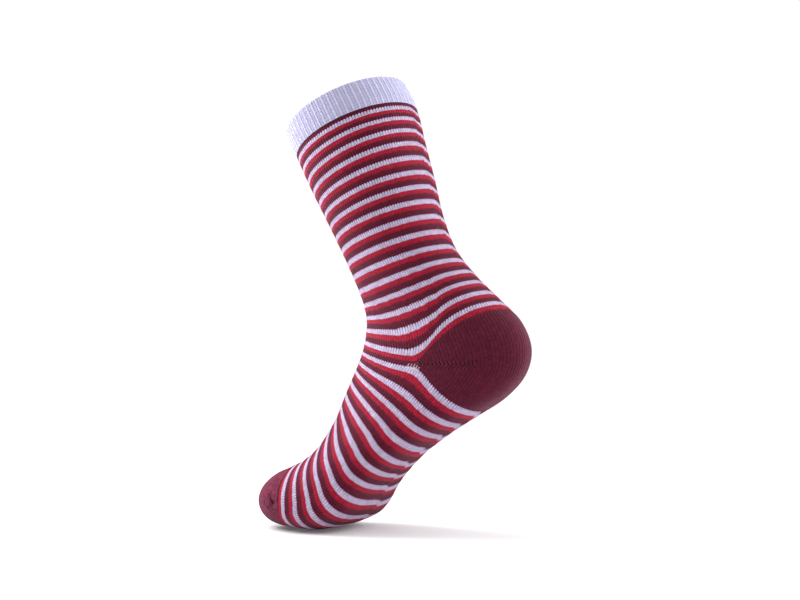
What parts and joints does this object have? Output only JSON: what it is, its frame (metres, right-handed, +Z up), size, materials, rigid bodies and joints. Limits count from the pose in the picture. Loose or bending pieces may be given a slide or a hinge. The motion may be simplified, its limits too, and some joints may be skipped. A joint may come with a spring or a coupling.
{
  "type": "sock",
  "caption": "Striped knitted crew sock in its worn hollow shape, with a ribbed cuff, a plain heel pocket and a plain toe pocket, standing on its toes.",
  "frame": {"origin": "middle of the leg opening, on the sloping plane of the cuff's upper edge", "axes": "+Z up along the standing sock, toe towards -X, the sock even about the XZ plane"},
  "size_m": [0.1942, 0.088, 0.302],
  "materials": {
    "cuff_knit": "pale periwinkle ribbed cotton knit, matt",
    "stripe_knit": "cotton stocking stitch in periwinkle, red and maroon stripes, matt",
    "pocket_knit": "plain maroon cotton stocking stitch, matt"
  },
  "bodies": {
    "root": {"cuff": "cuff_knit", "leg": "stripe_knit", "heel": "pocket_knit", "foot": "stripe_knit", "toe": "pocket_knit"}
  },
  "joints": []
}
